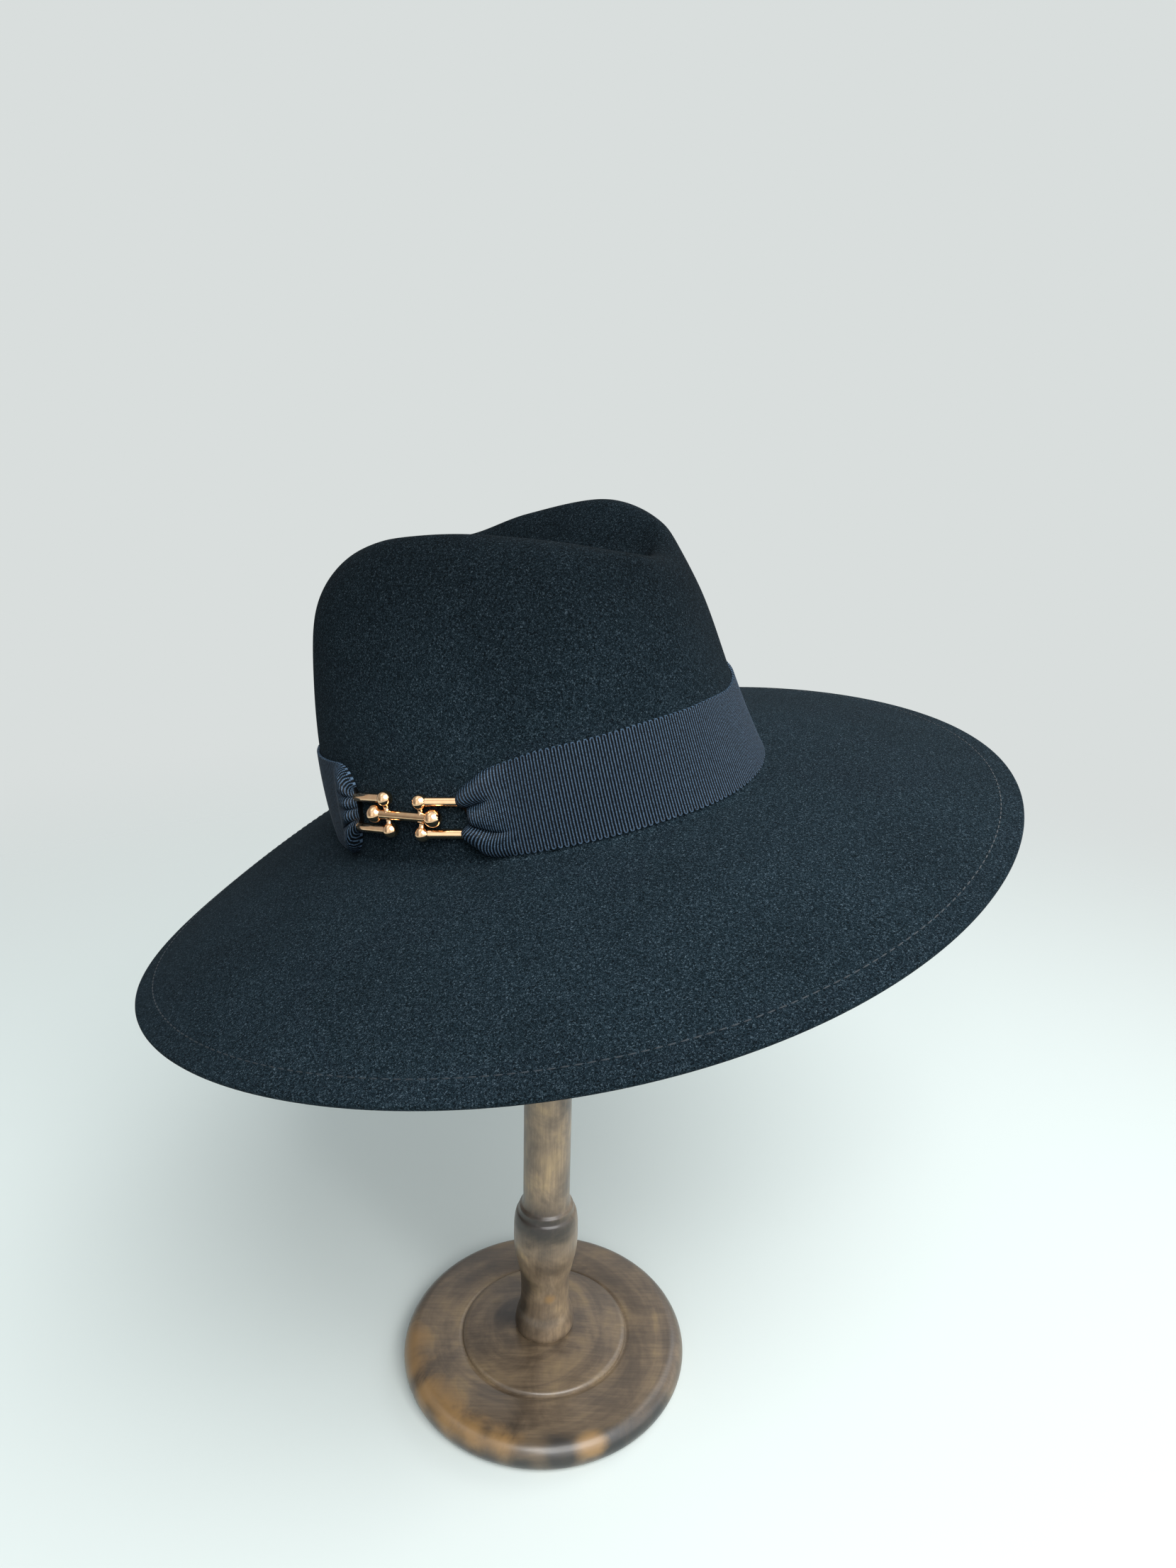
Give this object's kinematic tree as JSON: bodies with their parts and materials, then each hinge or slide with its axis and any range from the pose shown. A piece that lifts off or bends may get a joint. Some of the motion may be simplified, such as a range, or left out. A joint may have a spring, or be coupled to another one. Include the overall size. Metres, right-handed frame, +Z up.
{
  "type": "wide-brim felt fedora hat on a wooden hat stand",
  "caption": "Wide-brim felt fedora with a creased, pinched crown and a gathered ribbon band joined by a ball-and-bar clasp, on a turned wooden hat stand.",
  "frame": {"origin": "centre of the stand's round foot, on the surface that it stands on", "axes": "+Z up along the stand's post, +X to the right as the hat is shown (towards its front), +Y away from the viewer"},
  "size_m": [0.3864, 0.3996, 0.4561],
  "materials": {
    "felt": "black wool felt",
    "ribbon": "navy-black ribbed grosgrain",
    "rose_gold": "polished rose-gold plate",
    "wood": "dark stained and lacquered, worn in places"
  },
  "bodies": {
    "root": {"felt_hat": "felt", "ribbon_band": "ribbon", "clasp_shackle_front": "rose_gold", "clasp_shackle_rear": "rose_gold", "clasp_link_middle": "rose_gold", "stand_foot": "wood", "stand_post": "wood", "stand_head": "wood"}
  },
  "joints": []
}
